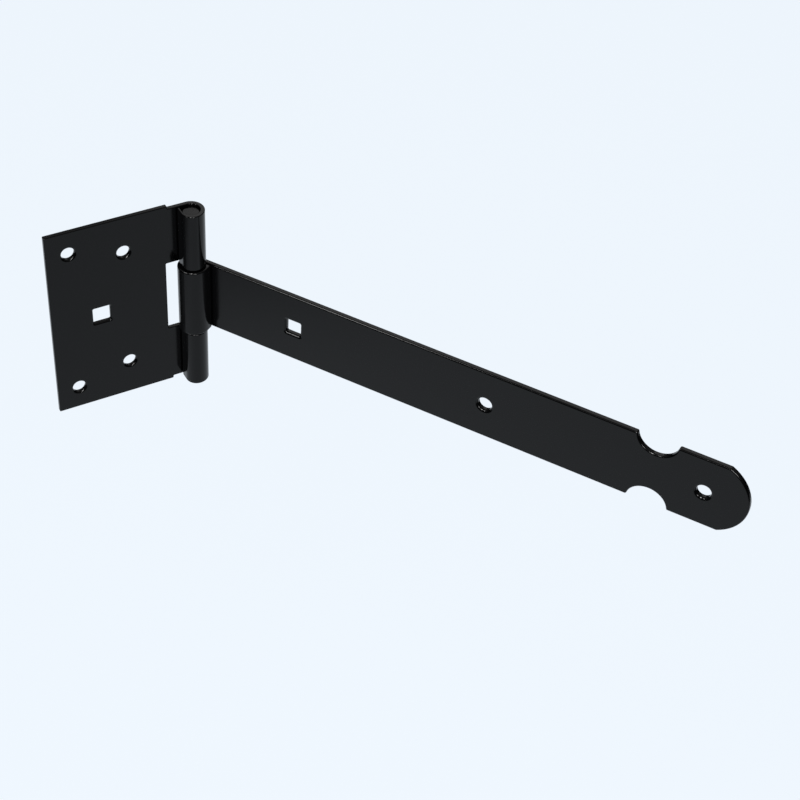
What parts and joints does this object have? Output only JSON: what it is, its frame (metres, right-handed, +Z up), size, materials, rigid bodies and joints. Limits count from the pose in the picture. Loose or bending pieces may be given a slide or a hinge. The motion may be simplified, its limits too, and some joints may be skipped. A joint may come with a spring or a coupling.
{
  "type": "tee hinge",
  "caption": "Tee hinge: a tall plate leaf and a long strap leaf with a notched, rounded end, rolled round one plain pin.",
  "frame": {"origin": "centre of the plate's square hole, on the plate's back face", "axes": "+X along the plate towards the pin, +Y into the post that the plate is fixed to, +Z up along the pin"},
  "size_m": [0.218, 0.2272, 0.1],
  "materials": {
    "black_coat": "satin black powder coat on steel"
  },
  "bodies": {
    "plate": {"plate_leaf": "black_coat", "hinge_pin": "black_coat"},
    "strap": {"strap_leaf": "black_coat"}
  },
  "joints": [
    {"name": "strap_swing", "type": "hinge", "parent": "plate", "child": "strap", "pos_m": [0.04225, -0.00618, 0], "axis": [0, 0, 1], "range_deg": [-123, 174]}
  ]
}
